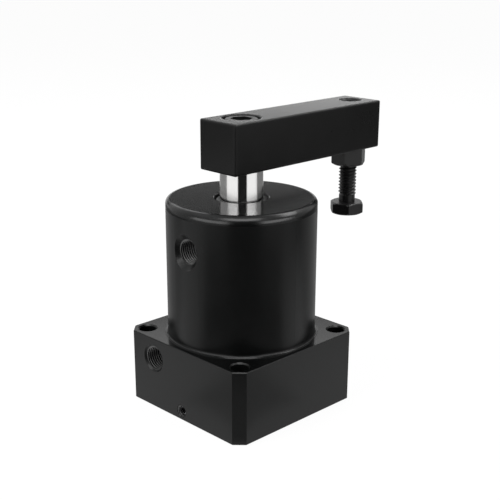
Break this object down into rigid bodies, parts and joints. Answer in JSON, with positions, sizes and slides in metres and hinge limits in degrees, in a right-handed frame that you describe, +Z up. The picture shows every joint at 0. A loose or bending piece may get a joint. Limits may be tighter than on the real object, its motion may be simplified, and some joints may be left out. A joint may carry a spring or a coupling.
{
  "type": "swing clamp cylinder",
  "caption": "Hydraulic swing clamp: flanged cylinder whose rod swings its clamp arm a quarter turn and pulls it down onto the work.",
  "frame": {"origin": "centre of the base's bottom face, on the cylinder's axis", "axes": "+Z up along the rod, both ports on the -Y side, arm pointing along +Y at rest"},
  "size_m": [0.085, 0.1355, 0.15],
  "materials": {
    "body_black": "satin black finish on machined steel",
    "cover_black": "black oxide",
    "arm_black": "satin black oxide",
    "fastener_black": "oiled black oxide",
    "zinc_steel": "bright zinc",
    "machined_steel": "turned",
    "hardened_steel": "ground",
    "ball_steel": "polished",
    "rod_chrome": "hard chrome, polished",
    "bush_bronze": "bored bronze",
    "seal_rubber": "matt nitrile",
    "wiper_grey": "matt polyurethane",
    "ptfe_bronze": "bronze-filled PTFE",
    "wear_tape": "filled polymer band"
  },
  "bodies": {
    "cylinder": {"clamp_body": "body_black", "rod_guide_bush": "bush_bronze", "rod_seal": "seal_rubber", "wiper_ring": "wiper_grey", "bottom_cover": "cover_black", "cover_o_ring": "seal_rubber", "cover_lock_screw": "zinc_steel", "guide_post": "hardened_steel", "guide_post_pin": "hardened_steel", "guide_post_o_ring": "seal_rubber", "guide_post_nut": "fastener_black"},
    "piston_rings": {"piston_seal": "ptfe_bronze", "piston_seal_energiser": "seal_rubber", "piston_wear_ring_low": "wear_tape", "piston_wear_ring_high": "wear_tape"},
    "rod_and_arm": {"piston_rod": "rod_chrome", "piston": "machined_steel", "piston_o_ring": "seal_rubber", "piston_nut": "machined_steel", "guide_balls": "ball_steel", "clamp_arm": "arm_black", "arm_screw": "fastener_black", "arm_dowel_pin": "hardened_steel", "lock_nut": "fastener_black"},
    "adjuster": {"contact_bolt": "fastener_black"}
  },
  "joints": [
    {"name": "rod_stroke", "type": "slide", "parent": "cylinder", "child": "piston_rings", "axis": [0, 0, 1], "range_m": [-0.011, 0.015]},
    {"name": "arm_swing", "type": "hinge", "parent": "piston_rings", "child": "rod_and_arm", "pos_m": [0, 0, 0.05], "axis": [0, 0, 1], "range_deg": [0, 90]},
    {"name": "contact_bolt_adjust", "type": "slide", "parent": "rod_and_arm", "child": "adjuster", "axis": [0, 0, 1], "range_m": [-0.015, 0.021]}
  ],
  "couplings": [
    {"joint": "rod_stroke", "follows": "arm_swing", "m_per_rad": 0.0095493}
  ]
}
